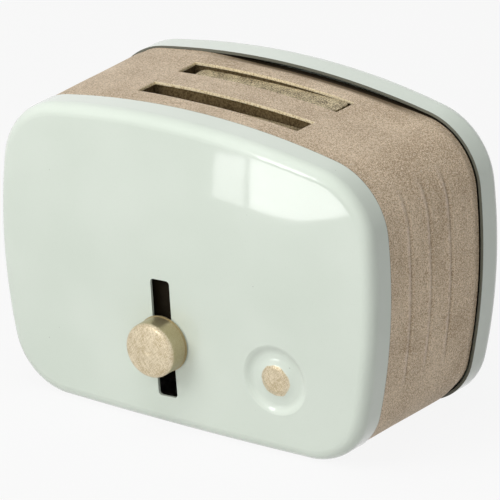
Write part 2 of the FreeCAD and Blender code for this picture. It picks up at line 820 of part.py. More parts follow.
def lifter_bridge():
    """A flat plate under the trays with a flange turned up behind the slider."""
    rear_edge = rivet_row("rear") + size("rivet_head_radius") + "bridge_margin"
    plate = box("bridge_flat", -size("bridge_width") / 2, slider_back, "bridge_height", "bridge_width",
                rear_edge - slider_back, "bridge_sheet")
    flange = box("bridge_flange", flange_middle() - size("flange_width") / 2, slider_back, "bridge_height",
                 "flange_width", "bridge_sheet", "flange_height")
    side_room = (size("bridge_width") - "flange_width") / 2 + 2
    depth = baffle_seat - slider_back + 1
    reliefs = [
        box("bridge_relief_left", flange_middle() - size("flange_width") / 2 - side_room, slider_back - 1,
            size("bridge_height") - 1, side_room, depth + 1, 3),
        box("bridge_relief_right", flange_middle() + size("flange_width") / 2, slider_back - 1,
            size("bridge_height") - 1, side_room, depth + 1, 3),
    ]
    holes = [cylinder("bridge_hole_%s_%d" % (row, number), x, rivet_row(row), size("bridge_height") - 1,
                      size("rivet_radius") + "running_fit", 3)
             for row in slot_row for number, x in enumerate(rivet_columns())]
    holes += [cylinder("flange_hole_%d" % number, x, slider_back - 1, z, size("rivet_radius") + "running_fit",
                       3, "y")
              for number, (x, z) in enumerate(slider_rivet_places())]
    return cut("lifter_bridge", fuse("bridge_blank", [plate, flange]), fuse("bridge_tools", reliefs + holes))


def slider_plate():
    """The plate behind the slot; it leans with the slot and carries the stem near its tail."""
    tail = size("stem_place") - "slider_tail"
    top = size("slider_top") - "slot_height"
    blank = leaning_box("slider_blank", -size("slider_width") / 2, tail, -size("slider_reach"),
                        "slider_width", "slider_sheet", top - tail)
    holes = [cylinder("slider_hole_%d" % number, x, slider_back - 2, z, size("rivet_radius") + "running_fit",
                      3, "y")
             for number, (x, z) in enumerate(slider_rivet_places())]
    stem_hole = lever_rod("slider_stem_hole", size("stem_neck_radius") + "running_fit", -3, 6)
    return cut("slider_plate", blank, fuse("slider_holes", holes + [stem_hole]))


def slider_rivets():
    grip = size("slider_sheet") + "bridge_sheet"
    rivets = [rivet("slider_rivet_%d" % number, x, -size("slider_reach"), z, grip, "y")
              for number, (x, z) in enumerate(slider_rivet_places())]
    return group("slider_rivets", rivets)


def slider_guide(side, front_inside):
    """A rail on the inside of the front cover: a wall beside the slider and a lip behind it."""
    name = "slider_guide_left" if side < 0 else "slider_guide_right"
    body = doc.addObject("PartDesign::Body", name + "_rail")
    sketch = sketch_on(body, "XY_Plane", name + "_section")
    wall = size("slider_width") / 2 + "guide_clearance"
    outer = wall + "guide_sheet"
    lip = size("slider_width") / 2 - "guide_lip"
    front = -size("face_reach")
    corners = [(wall, front), (outer, front), (outer, baffle_seat), (wall, baffle_seat), (wall, guide_back),
               (lip, guide_back), (lip, guide_floor), (wall, guide_floor)]
    closed_profile(sketch, [(side * x, y) for x, y in corners])
    pad(body, sketch, size("guide_top") - "guide_bottom")
    bind(sketch, "AttachmentOffset.Base.z", size("guide_bottom") - "slot_height")
    return common(name, in_slot_frame(body), front_inside)


def slot_baffle():
    """A plate on the backs of the guides that closes the lower part of the slot from inside."""
    width = size("slider_width") + 2 * (size("guide_clearance") + "guide_sheet")
    low = size("guide_bottom") - "slot_height"
    return leaning_box("slot_baffle", -width / 2, low, baffle_seat, width, "baffle_sheet", "baffle_height")


# Lever: knob, washers, stem and nut on one axis that is square to the domed face

def lever_rod(name, radius, start, length):
    """A cylinder on the lever's axis; start and length count outwards from the cover's outer face."""
    rod = doc.addObject("Part::Cylinder", name)
    bind(rod, "Radius", radius)
    bind(rod, "Height", length)
    return on_lever_axis(rod, start)


def on_lever_axis(thing, start):
    """Puts an object that is drawn about +Z on the lever's axis."""
    on_face(thing, *slot_point("stem_place"))
    outward = thing.Placement.Rotation.multVec(FreeCAD.Vector(0, 0, 1))
    thing.Placement.Base = thing.Placement.Base + outward * size(start).value
    return thing


def turned(name, corners, start, arcs=None):
    """A turned piece on the lever's axis, from its half section."""
    body = doc.addObject("PartDesign::Body", name)
    sketch = sketch_on(body, "XZ_Plane", name + "_section")
    closed_profile(sketch, corners, arcs)
    revolve(body, sketch)
    return on_lever_axis(body, start)


def lever_knob():
    bore = size("stem_radius") + "running_fit"
    rim = size("knob_rim")
    radius = size("knob_radius")
    length = size("knob_length")
    shoulder = length - "knob_crown"
    flat = radius - rim
    crown = (flat.squared() + size("knob_crown").squared()) / (2 * size("knob_crown"))
    corners = [(bore, 0), (radius, 0), (radius, shoulder - rim), (flat, shoulder), (0, length),
               (0, "knob_bore_depth"), (bore, "knob_bore_depth")]
    return turned("lever_knob", corners, size("washer_gap") + "washer_sheet",
                  {2: (rim, True), 3: (crown, True)})


def knob_washer():
    bore = size("stem_radius") + "running_fit"
    corners = [(bore, 0), ("washer_radius", 0), ("washer_radius", "washer_sheet"), (bore, "washer_sheet")]
    return turned("knob_washer", corners, "washer_gap")


def stem_seat():
    """How far the slider's front face lies behind the cover's outer face, on the lever's axis."""
    across, height = slot_point("stem_place")
    dome = size("face_radius")
    sag = dome - (dome.squared() - across.squared() - (height - "face_height").squared()).root()
    return size("face_reach") - sag - "slider_reach"


def lever_stem():
    """A stepped pin: thick from the knob to the slider, with a neck through the slider and the nut."""
    shoulder = -stem_seat() + "stem_end_gap"
    top = size("washer_gap") + size("washer_sheet") + "knob_bore_depth" - "stem_end_gap"
    neck_end = shoulder - size("slider_sheet") - size("nut_length") - "stem_proud"
    corners = [(0, neck_end), ("stem_neck_radius", neck_end), ("stem_neck_radius", shoulder),
               ("stem_radius", shoulder), ("stem_radius", top), (0, top)]
    return turned("lever_stem", corners, 0)


def spring_washer():
    """A dished washer on the stem between the cover and the slider."""
    bore = size("stem_radius") + "running_fit"
    thick = size("spring_washer_sheet")
    low = -stem_seat() + "washer_gap"
    high = low + "spring_washer_rise"
    corners = [(bore, low), ("spring_washer_radius", high), ("spring_washer_radius", high + thick),
               (bore, low + thick)]
    return turned("spring_washer", corners, 0)


def stem_nut():
    """A hexagon nut behind the slider."""
    body = doc.addObject("PartDesign::Body", "stem_nut")
    sketch = sketch_on(body, "XY_Plane", "stem_nut_section")
    radius = size("nut_radius")
    cosines = (1, 0.5, -0.5, -1, -0.5, 0.5)
    sines = (0, 1, 1, 0, -1, -1)
    rise = radius * math.sqrt(0.75)
    closed_profile(sketch, [(radius * cosine, rise * sine if sine else 0)
                            for cosine, sine in zip(cosines, sines)])
    pad(body, sketch, "nut_length")
    hole_sketch = sketch_on(body, "XY_Plane", "stem_nut_bore")
    circle = hole_sketch.addGeometry(Part.Circle(FreeCAD.Vector(0, 0, 0), FreeCAD.Vector(0, 0, 1), 1), False)
    hole_sketch.addConstraint(Sketcher.Constraint("Coincident", circle, 3, -1, 1))
    hold(hole_sketch, "Radius", (circle,), size("stem_neck_radius") + "running_fit")
    bore = body.newObject("PartDesign::Pocket", "stem_nut_hole")
    bore.Profile = hole_sketch
    bore.Type = "ThroughAll"
    bore.Reversed = True
    return on_lever_axis(body, -stem_seat() - size("slider_sheet") - size("nut_length") - "stem_end_gap")


def finish(parts):
    """Moves the finished pieces so that the origin is under the middle of the whole toy."""
    doc.recompute()
    boxes = [part.Shape.BoundBox for part in parts.values()]
    low = min(each.YMin for each in boxes)
    high = max(each.YMax for each in boxes)
    shift = -(low + high) / 2
    for name, part in parts.items():
        part.Label = name
        base = part.Placement.Base
        part.setExpression("Placement.Base.y", None)
        part.Placement.Base = FreeCAD.Vector(base.x, base.y + shift, base.z)
    doc.recompute()
    return shift


def main():
    parts = {}
    parts["front_cover"], front_inside = front_cover()
    parts["rear_cover"], rear_inside = rear_cover()
    parts["casing_band"] = casing_band()
    parts["base_plate"] = base_plate()
    parts["base_screws"] = base_screws()
    parts["tie_posts"] = tie_posts(front_inside, rear_inside)
    parts["cover_screws"] = cover_screws()
    for row in slot_row:
        parts["bread_well_" + row] = bread_well(row)
        parts["bread_tray_" + row] = bread_tray(row)
    parts["tray_rivets"] = tray_rivets()
    parts["lifter_bridge"] = lifter_bridge()
    parts["slider_plate"] = slider_plate()
    parts["slider_rivets"] = slider_rivets()
    parts["slider_guide_left"] = slider_guide(-1, front_inside)
    parts["slider_guide_right"] = slider_guide(1, front_inside)
    parts["slot_baffle"] = slot_baffle()
    parts["lever_knob"] = lever_knob()
    parts["knob_washer"] = knob_washer()
    parts["lever_stem"] = lever_stem()
    parts["spring_washer"] = spring_washer()
    parts["stem_nut"] = stem_nut()
    shift = finish(parts)
    for thing in doc.Objects:
        if {"Invalid", "Error"} & set(thing.State):
            raise RuntimeError("%s failed: %s" % (thing.Name, thing.State))
    os.makedirs("parts", exist_ok=True)
    for name, part in parts.items():
        shape = part.Shape
        if shape.isNull() or not shape.isValid() or not shape.Solids:
            raise RuntimeError("%s has no valid solid" % name)
        shape.exportStep("parts/%s.step" % name)
        extent = shape.BoundBox
        print("%-20s solids %d volume %9.3f  x %7.2f %7.2f  y %7.2f %7.2f  z %7.2f %7.2f" % (
            name, len(shape.Solids), shape.Volume, extent.XMin, extent.XMax, extent.YMin, extent.YMax,
            extent.ZMin, extent.ZMax))
    print("moved along Y by %.3f" % shift)


main()
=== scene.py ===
import math

import bmesh
import bpy
from mathutils import Matrix, Vector
from mathutils.noise import noise as lumps


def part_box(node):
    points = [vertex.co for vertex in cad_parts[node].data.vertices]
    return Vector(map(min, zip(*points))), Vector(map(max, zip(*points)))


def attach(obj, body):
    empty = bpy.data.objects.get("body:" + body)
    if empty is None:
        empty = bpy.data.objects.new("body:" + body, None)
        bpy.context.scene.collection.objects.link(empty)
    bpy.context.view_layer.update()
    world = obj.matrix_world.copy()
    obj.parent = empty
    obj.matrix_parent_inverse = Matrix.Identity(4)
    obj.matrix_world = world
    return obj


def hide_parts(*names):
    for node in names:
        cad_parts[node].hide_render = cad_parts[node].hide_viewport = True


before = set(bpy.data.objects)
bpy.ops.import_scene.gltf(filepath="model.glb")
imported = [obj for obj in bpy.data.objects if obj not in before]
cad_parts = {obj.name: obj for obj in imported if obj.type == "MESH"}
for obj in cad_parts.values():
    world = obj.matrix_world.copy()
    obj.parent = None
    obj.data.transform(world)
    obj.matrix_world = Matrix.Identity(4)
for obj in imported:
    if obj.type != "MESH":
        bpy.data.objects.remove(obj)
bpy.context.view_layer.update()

MM = 0.001


# The toaster in its own frame: X along it, -Y towards the lever, Z up. All lengths are metres.

def span(*nodes):
    """The lowest and highest corner of some CAD pieces together."""
    corners = [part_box(node) for node in nodes]
    low = Vector([min(pair[0][axis] for pair in corners) for axis in range(3)])
    high = Vector([max(pair[1][axis] for pair in corners) for axis in range(3)])
    return low, high


front_low, front_high = span("front_cover")
rear_low, rear_high = span("rear_cover")
band_low, band_high = span("casing_band")
knob_low, _ = span("lever_knob")
MIDDLE = (front_high.y + rear_low.y) / 2
HEIGHT = front_high.z
HALF_LENGTH = (rear_high.x - front_low.x) / 2

# The casing's outline as seen from the front, round stretches that run into each other
CROWN_RADIUS = 116 * MM
CORNER_RADIUS = 10.1 * MM
SIDE_RADIUS = 83 * MM
WIDEST_HEIGHT = 24.2 * MM
BOTTOM_RADIUS = 8.9 * MM

# The band between the covers; its places along Y count from MIDDLE
FLANGE_EDGE = (rear_low.y - front_high.y) / 2
BAND_REACH = (band_high.y - band_low.y) / 2
BAND_SHEET = 0.4 * MM
BAND_SET_IN = 0.2 * MM
LAP_SET_IN = 0.55 * MM
JOGGLE = (0.2 * MM, 0.08 * MM)
REAR_JOINT = 0.05 * MM
DENT_DEPTH = 0.5 * MM
LUMP_SIZE = 7 * MM
LUMP_DEPTH = 0.05 * MM
WORN_EDGE = 0.05 * MM
BAND_FLAP = 4.5 * MM
SLOT_HALF_LENGTH = 12.8 * MM
SLOT_ROWS = ((-7.15 * MM, -3.0 * MM), (1.95 * MM, 6.1 * MM))
CREASES = (-5.4 * MM, -0.8 * MM, 3.8 * MM)
OUTLINE_STEP = 0.5 * MM
LINE_STEP = 0.22 * MM
FINE_LINE_STEP = 0.06 * MM
BASE_SCREWS = [(side * 17.1 * MM, end * 7 * MM) for side in (-1, 1) for end in (-1, 1)]
SCREW_HEAD = 1.2 * MM
SCREW_SHANK = 0.75 * MM

GOLD_SPOT = Vector((14.92, 10.41)) * MM
GOLD_SPOT_RADIUS = 2.15 * MM


def smooth(value, start, end):
    """0 before start and 1 after end, smooth between them; start may be the larger."""
    share = min(max((value - start) / (end - start), 0.0), 1.0)
    return share * share * (3 - 2 * share)


# Node trees

class Value:
    """A socket that takes part in arithmetic; each sum or product adds its Math node."""

    def __init__(self, paint, socket):
        self.paint = paint
        self.socket = socket

    def maths(self, operation, *others):
        inputs = dict(enumerate((self,) + others))
        return self.paint.node("ShaderNodeMath", {"operation": operation}, inputs)

    def __add__(self, other):
        return self.maths("ADD", other)

    def __sub__(self, other):
        return self.maths("SUBTRACT", other)

    def __mul__(self, other):
        return self.maths("MULTIPLY", other)

    def __radd__(self, other):
        return self + other

    def __rmul__(self, other):
        return self * other

    def __rsub__(self, other):
        return (self * -1) + other

    def __abs__(self):
        return self.maths("ABSOLUTE")

    def larger(self, other):
        return self.maths("MAXIMUM", other)

    def root(self):
        return self.maths("SQRT")

    def step(self, start, end):
        """0 below start and 1 above end, smooth between them; start may be the larger."""
        rising = start < end
        settings = {"interpolation_type": "SMOOTHSTEP"}
        low, high = (start, end) if rising else (end, start)
        inputs = {"Value": self, "From Min": low, "From Max": high,
                  "To Min": 0.0 if rising else 1.0, "To Max": 1.0 if rising else 0.0}
        return self.paint.node("ShaderNodeMapRange", settings, inputs)


class Paint:
    """A material or the world, with its node tree."""

    def __init__(self, owner):
        owner.use_nodes = True
        self.owner = owner
        self.tree = owner.node_tree
        self.tree.nodes.clear()

    def node(self, kind, settings=None, sockets=None, output=0):
        """Adds a node of that type, sets it up, feeds its sockets and gives one of its outputs."""
        made = self.tree.nodes.new(kind)
        for name, setting in (settings or {}).items():
            setattr(made, name, setting)
        for name, given in (sockets or {}).items():
            self.feed(made.inputs[name], given)
        return Value(self, made.outputs[output]) if len(made.outputs) else made

    def feed(self, socket, given):
        if isinstance(given, Value):
            self.tree.links.new(given.socket, socket)
        else:
            socket.default_value = given

    def place(self):
        """Where a point lies on the toaster, in metres."""
        return self.node("ShaderNodeTexCoord", output="Object")

    def axes(self):
        """The three coordinates of that place, each as a value."""
        split = self.node("ShaderNodeSeparateXYZ", sockets={0: self.place()})
        outputs = split.socket.node.outputs
        return [Value(self, outputs[axis]) for axis in range(3)]

    def noise(self, size, detail=2.0, roughness=0.5, turned=0.0, stretch=None):
        """Noise whose lumps are about that many metres across, turned about Y and then stretched."""
        vector = self.place()
        if turned:
            settings = {"rotation_type": "Y_AXIS"}
            vector = self.node("ShaderNodeVectorRotate", settings, {"Vector": vector, "Angle": turned})
        if stretch:
            vector = self.node("ShaderNodeVectorMath", {"operation": "MULTIPLY"}, {0: vector, 1: stretch})
        inputs = {"Vector": vector, "Scale": 1.0 / size, "Detail": detail, "Roughness": roughness}
        return self.node("ShaderNodeTexNoise", {"noise_dimensions": "3D"}, inputs)

    def cells(self, size, output="Distance"):
        """Cells about that many metres across: the distance to their middles, or a colour for each."""
        inputs = {"Vector": self.place(), "Scale": 1.0 / size, "Randomness": 1.0}
        return self.node("ShaderNodeTexVoronoi", {"feature": "F1"}, inputs, output)

    def mixed(self, mask, first, second):
        """The first colour where the mask is 0 and the second where it is 1."""
        settings = {"data_type": "RGBA", "blend_type": "MIX", "clamp_factor": True}
        return self.node("ShaderNodeMix", settings, {0: mask, 6: opaque(first), 7: opaque(second)}, 2)

    def bump(self, height, distance, strength):
        inputs = {"Height": height, "Distance": distance, "Strength": strength}
        return self.node("ShaderNodeBump", None, inputs)

    def rays(self, *kinds):
        """1 for rays of any of those kinds and 0 for the others."""
        path = self.node("ShaderNodeLightPath").socket.node.outputs
        chosen = Value(self, path[kinds[0]])
        for kind in kinds[1:]:
            chosen = chosen.larger(Value(self, path[kind]))
        return chosen

    def surface(self, **sockets):
        """Ends the tree in a Principled shader whose sockets are given by name."""
        named = {name.replace("_", " "): given for name, given in sockets.items()}
        shader = self.node("ShaderNodeBsdfPrincipled", None, named)
        self.node("ShaderNodeOutputMaterial", None, {"Surface": shader})
        return self.owner


def opaque(colour):
    """A colour with full alpha, where it isn't a link."""
    return colour if isinstance(colour, Value) else (*colour, 1.0)


def srgb(red, green, blue):
    """The linear colour of an 8-bit screen colour."""
    def linear(channel):
        channel = channel / 255.0
        return channel / 12.92 if channel <= 0.04045 else ((channel + 0.055) / 1.055) ** 2.4
    return linear(red), linear(green), linear(blue)


def new_paint(name):
    return Paint(bpy.data.materials.new(name))


# Finishes

def scratches(paint, size):
    """Fine lines in two crossing directions over a face that looks along -Y."""
    first = paint.noise(size, 1.0, 0.5, turned=0.6, stretch=(1.0, 1.0, 0.07))
    second = paint.noise(size, 1.0, 0.5, turned=-0.8, stretch=(1.0, 1.0, 0.09))
    return first * 0.55 + second * 0.45


def gold_flake(paint):
    """Colour, bump height and roughness of the brushed-on gold paint."""
    patches = paint.noise(1.5 * MM, 2.0, 0.5)
    flakes = paint.noise(0.16 * MM, 2.0, 0.7)
    lines = scratches(paint, 0.11 * MM)
    shade = (patches * 0.16 + flakes * 0.40 + lines * 0.44).step(0.38, 0.62)
    colour = paint.mixed(shade, srgb(186, 168, 133), srgb(230, 217, 190))
    height = patches * 0.1 + flakes * 0.3 + lines * 0.3
    return colour, height, 0.30 + flakes * 0.22


def mint_enamel(name, with_spot):
    """Thick pale enamel with a faint orange peel and fine dust; its cut edge is dark, partly the sheet's own
    edge and partly painted shade of the joint gap.
    """
    paint = new_paint(name)
    broad = paint.noise(16 * MM, 2.0, 0.5)
    dust = paint.noise(0.12 * MM, 1.0, 0.6).step(0.62, 0.80)
    colour = paint.mixed(broad.step(0.3, 0.7), srgb(214, 224, 211), srgb(220, 229, 217))
    colour = paint.mixed(dust * 0.22, colour, srgb(188, 198, 184))
    specks = paint.cells(1.9 * MM).step(0.055, 0.035)
    chosen = paint.noise(5 * MM, 0.0).step(0.60, 0.64)
    colour = paint.mixed(specks * chosen * 0.5, colour, srgb(150, 158, 146))
    peel = paint.noise(2.6 * MM, 1.0, 0.4)
    height = peel + paint.noise(0.25 * MM, 1.0, 0.5) * 0.05
    rough = 0.34 + dust * 0.2
    metal = 0.0
    coat = 1.0
    x, y, z = paint.axes()
    # Partly painted shade: the flanges' cut edge and a ragged strip just inside it go dark brown with little
    # coat, standing in for the joint gap's shade as well as the sheet edge.
    cut = (abs(y - MIDDLE) + paint.noise(0.3 * MM, 2.0) * (0.06 * MM)).step(FLANGE_EDGE + 0.12 * MM,
                                                                          FLANGE_EDGE + 0.05 * MM)
    colour = paint.mixed(cut * 0.85, colour, srgb(70, 66, 52))
    coat = coat - cut * 0.8
    if with_spot:
        distance = ((x - GOLD_SPOT.x) * (x - GOLD_SPOT.x) + (z - GOLD_SPOT.y) * (z - GOLD_SPOT.y)).root()
        ragged = (paint.noise(1.8 * MM, 1.0, 0.4) - 0.5) * (0.8 * MM)
        spot = (distance + ragged).step(GOLD_SPOT_RADIUS + 0.10 * MM, GOLD_SPOT_RADIUS - 0.06 * MM)
        gold, gold_height, gold_rough = gold_flake(paint)
        colour = paint.mixed(spot, colour, gold)
        height = height * (1.0 - spot) + gold_height * spot * 1.2 + spot * 0.6
        rough = rough * (1.0 - spot) + gold_rough * spot
        metal = spot * 0.7
        coat = coat - spot * 0.7
    return paint.surface(Base_Color=colour, Roughness=rough, Metallic=metal, Coat_Weight=coat,
                         Coat_Roughness=0.05, Coat_IOR=1.5, IOR=1.45,
                         Normal=paint.bump(height, 0.05 * MM, 0.6))


def champagne_band():
    """Matte champagne metallic paint with a sandy grain, with painted highlights and painted shade along the
    creases, painted shade in the dent before the rear flange, and a ragged painted shade where the band runs
    under the rear flange.
    """
    paint = new_paint("champagne_band")
    grain = paint.noise(0.17 * MM, 2.0, 0.75)
    coarse = paint.noise(0.45 * MM, 2.0, 0.6)
    broad = paint.noise(6 * MM, 2.0, 0.5)
    shade = (grain * 0.70 + coarse * 0.15 + broad * 0.15).step(0.38, 0.62)
    colour = paint.mixed(shade, srgb(154, 132, 103), srgb(226, 207, 181))
    flecks = paint.node("ShaderNodeSeparateColor", None, {0: paint.cells(0.13 * MM, "Color")})
    bright = flecks.step(0.90, 0.97)
    colour = paint.mixed(bright * 0.45, colour, srgb(240, 230, 214))
    dark = paint.noise(0.28 * MM, 2.0, 0.7).step(0.64, 0.76)
    colour = paint.mixed(dark * 0.5, colour, srgb(128, 110, 84))
    x, y, z = paint.axes()
    ragged = (paint.noise(0.35 * MM, 3.0, 0.7) - 0.5) * (0.35 * MM)
    long_way = z.step(8 * MM, 14 * MM) * z.step(39 * MM, 33 * MM) * abs(x).step(26 * MM, 28.5 * MM)
    # Along each crease, a pale pinkish strip on the ridge in front of it, broken up by noise, is a painted
    # highlight, and a dark line in the groove is painted shade.
    for place in CREASES:
        off = y - (MIDDLE + place)
        highlight_breakup = paint.noise(1.1 * MM, 2.0, 0.6).step(0.30, 0.62)
        painted_ridge_highlight = off.step(-1.35 * MM, -0.8 * MM) * off.step(-0.2 * MM, -0.55 * MM)
        colour = paint.mixed(painted_ridge_highlight * highlight_breakup * long_way * 0.40, colour, srgb(226, 208, 196))
        painted_groove_shade = off.step(-0.30 * MM, -0.02 * MM) * off.step(0.38 * MM, 0.06 * MM)
        colour = paint.mixed(painted_groove_shade * long_way * 0.36, colour, srgb(116, 98, 80))
    off = y - MIDDLE + ragged
    # Painted shade: dark brown where the crown dips into the dent before the rear flange.
    dent = x.step(-17 * MM, -5 * MM) * x.step(24 * MM, 14 * MM) * z.step(HEIGHT - 4 * MM, HEIGHT - 3 * MM)
    colour = paint.mixed(dent * off.step(8.6 * MM, 10.0 * MM) * 0.75, colour, srgb(96, 80, 55))
    # Painted shade: a ragged near-black, non-metallic strip where the band runs down under the rear flange,
    # in the joint gap.
    painted_joint_shade = off.step(FLANGE_EDGE - 0.16 * MM, FLANGE_EDGE - 0.04 * MM)
    colour = paint.mixed(painted_joint_shade, colour, srgb(40, 32, 20))
    height = grain * 0.7 + coarse * 0.5
    return paint.surface(Base_Color=colour, Roughness=0.46 + grain * 0.2,
                         Metallic=(0.35 + bright * 0.3) * (1.0 - painted_joint_shade),
                         Normal=paint.bump(height, 0.05 * MM, 0.8))


def highlit_cut_edge_gold():
    """The cut edges of the bread slots: beaded gold paint, painted up to a near-white gold as the highlight
    that runs along them.
    """
    paint = new_paint("highlit_cut_edge_gold")
    beads_and_highlight = paint.noise(0.22 * MM, 2.0, 0.6)
    # Painted highlight: the beads run up to a near-white gold, brighter than the band, for the light the
    # edges catch.
    colour = paint.mixed(beads_and_highlight.step(0.30, 0.58), srgb(196, 172, 126), srgb(252, 238, 204))
    return paint.surface(Base_Color=colour, Roughness=0.34 + beads_and_highlight * 0.2, Metallic=0.2,
                         Normal=paint.bump(beads_and_highlight, 0.03 * MM, 0.7))


def gold_paint(name):
    """Gold paint on the knob, brushed on its face; down its side it is painted a darker olive brown as shade
    and the mint face's reflection.
    """
    paint = new_paint(name)
    colour, height, rough = gold_flake(paint)
    # Painted shade and painted reflection: the knob's side is mixed toward a darker olive brown.
    side = paint.axes()[1].step(knob_low.y + 0.5 * MM, knob_low.y + 1.0 * MM)
    colour = paint.mixed(side * 0.7, colour, srgb(166, 153, 114))
    return paint.surface(Base_Color=colour, Roughness=rough, Metallic=0.8, Coat_Weight=0.2,
                         Coat_Roughness=0.2, Normal=paint.bump(height, 0.04 * MM, 0.7))


def tray_gold():
    """The trays' darker gold, sandy with bright grains."""
    paint = new_paint("tray_gold")
    grain = paint.noise(0.20 * MM, 3.0, 0.75)
    patches = paint.noise(2.2 * MM, 2.0, 0.5)
    shade = (grain * 0.8 + patches * 0.2).step(0.40, 0.60)
    colour = paint.mixed(shade, srgb(84, 68, 40), srgb(222, 207, 170))
    return paint.surface(Base_Color=colour, Roughness=0.4 + grain * 0.2, Metallic=0.6,
                         Normal=paint.bump(grain, 0.06 * MM, 0.9))


def dark_sheet():
    """Near-black paint on thin sheet, dusty in places; its black also stands in as painted shade for the dark
    inside seen through the lever slot.
    """
    paint = new_paint("dark_sheet")
    dust = paint.noise(1.5 * MM, 3.0, 0.6)
    colour = paint.mixed(dust.step(0.4, 0.8), srgb(30, 24, 15), srgb(40, 34, 24))
    return paint.surface(Base_Color=colour, Roughness=0.8 + dust * 0.1, Metallic=0.0,
                         Specular_IOR_Level=0.2, Normal=paint.bump(dust, 0.03 * MM, 0.5))


def rolled_steel():
    """Bare rolled sheet with fine lines along it and dull stains."""
    paint = new_paint("rolled_steel")
    lines = paint.noise(0.12 * MM, 2.0, 0.5, stretch=(0.05, 1.0, 1.0))
    stains = paint.noise(4 * MM, 3.0, 0.6)
    colour = paint.mixed(stains.step(0.35, 0.7), srgb(168, 166, 160), srgb(128, 124, 116))
    colour = paint.mixed(lines.step(0.4, 0.7) * 0.4, colour, srgb(190, 188, 182))
    return paint.surface(Base_Color=colour, Roughness=0.32 + stains * 0.2, Metallic=0.9,
                         Normal=paint.bump(lines, 0.02 * MM, 0.5))


def turned_steel():
    """Plated steel of the screws, rivets, posts and the stem."""
    paint = new_paint("turned_steel")
    patches = paint.noise(0.8 * MM, 3.0, 0.6)
    colour = paint.mixed(patches.step(0.35, 0.7), srgb(186, 182, 172), srgb(142, 136, 124))
    return paint.surface(Base_Color=colour, Roughness=0.25 + patches * 0.25, Metallic=0.95,
                         Normal=paint.bump(patches, 0.02 * MM, 0.5))


def well_paint():
    """The wells' insides: sandy dark overspray, painted darker with depth as the shade down in them."""
    paint = new_paint("well_paint")
    grain = paint.noise(0.22 * MM, 3.0, 0.75)
    z = paint.axes()[2]
    # Painted shade: the walls turn almost black from 1 mm to 6 mm below the top.
    depth = z.step(HEIGHT - 1 * MM, HEIGHT - 6 * MM)
    colour = paint.mixed(grain.step(0.38, 0.62), srgb(78, 62, 36), srgb(132, 114, 82))
    colour = paint.mixed(depth * 0.6, colour, srgb(36, 29, 17))
    return paint.surface(Base_Color=colour, Roughness=0.6 + grain * 0.2, Metallic=0.2,
                         Normal=paint.bump(grain, 0.05 * MM, 0.8))


# Objects and meshes

def in_scene(name, data):
    """A new object with that data, in the scene."""
    made = bpy.data.objects.new(name, data)
    bpy.context.collection.objects.link(made)
    return made


def mesh_piece(name, builder, finishes=()):
    """An object from a bmesh, with its finishes."""
    mesh = bpy.data.meshes.new(name)
    builder.to_mesh(mesh)
    builder.free()
    for finish in finishes:
        mesh.materials.append(finish)
    return in_scene(name, mesh)


def shape_with(piece, name, kind, **settings):
    """Sets up a modifier and puts its result in the mesh."""
    modifier = piece.modifiers.new(name, kind)
    for setting, value in settings.items():
        setattr(modifier, setting, value)
    bpy.context.view_layer.update()
    shaped = piece.evaluated_get(bpy.context.evaluated_depsgraph_get())
    mesh = bpy.data.meshes.new_from_object(shaped)
    piece.modifiers.clear()
    piece.data = mesh
    for polygon in mesh.polygons:
        polygon.use_smooth = True


def spaced(start, end, step):
    """Even places from start up to, but not at, end."""
    count = max(1, round(abs(end - start) / step))
    return [start + (end - start) * number / count for number in range(count)]


# Casing band

def crossing(first, first_radius, second, second_radius):
    """Where two circles cross, on the upper right."""
    between = second - first
    gap = between.length
    along = (first_radius ** 2 - second_radius ** 2 + gap ** 2) / (2 * gap)
    aside = math.sqrt(first_radius ** 2 - along ** 2)
    across = Vector((-between.y, between.x)) / gap
    foot = first + between * along / gap
    return max((foot + across * aside, foot - across * aside), key=sum)


def slant(vector):
    """The angle of a flat vector, from the X axis."""
    return math.atan2(vector.y, vector.x)


def outline(step):
    """Points of the outline and their outward normals, from the right flap over the crown to the left."""
    crown = Vector((0, HEIGHT - CROWN_RADIUS))
    side = Vector((HALF_LENGTH - SIDE_RADIUS, WIDEST_HEIGHT))
    corner = crossing(crown, CROWN_RADIUS - CORNER_RADIUS, side, SIDE_RADIUS - CORNER_RADIUS)
    drop = BOTTOM_RADIUS - WIDEST_HEIGHT
    bottom = side + Vector((math.sqrt((SIDE_RADIUS - BOTTOM_RADIUS) ** 2 - drop ** 2), drop))
    slot_end = math.acos(SLOT_HALF_LENGTH / (CROWN_RADIUS - BAND_SET_IN))
    right = [(Vector((x, 0)), Vector((0, -1))) for x in spaced(bottom.x - BAND_FLAP, bottom.x, step)]
    for centre, radius, start, end in (
            (bottom, BOTTOM_RADIUS, -math.pi / 2, slant(bottom - side)),
            (side, SIDE_RADIUS, slant(bottom - side), slant(corner - side)),
            (corner, CORNER_RADIUS, slant(corner - side), slant(corner - crown)),
            (crown, CROWN_RADIUS, slant(corner - crown), slot_end),
            (crown, CROWN_RADIUS, slot_end, math.pi / 2)):
        for angle in spaced(start, end, step / radius):
            normal = Vector((math.cos(angle), math.sin(angle)))
            right.append((centre + normal * radius, normal))
    left = [(Vector((-point.x, point.y)), Vector((-normal.x, normal.y))) for point, normal in reversed(right)]
    return right + [(Vector((0, HEIGHT)), Vector((0, 1)))] + left


def crown_set_in(x, y):
    """How far the crown of the band lies below the covers: flatter than they are, lower at the rear."""
    across = x / SLOT_HALF_LENGTH
    flat = max(0.0, 1 - across * across)
    front = (0.07 + 0.05 * across + 0.16 * flat) * MM
    rear = (0.40 + 0.10 * across + 0.12 * flat) * MM
    dent = smooth(x, -17 * MM, -3 * MM) * smooth(x, 25 * MM, 12 * MM) * smooth(y, 8.3 * MM, 10.3 * MM)
    return front + (rear - front) * smooth(y, -9 * MM, 5 * MM) + DENT_DEPTH * dent


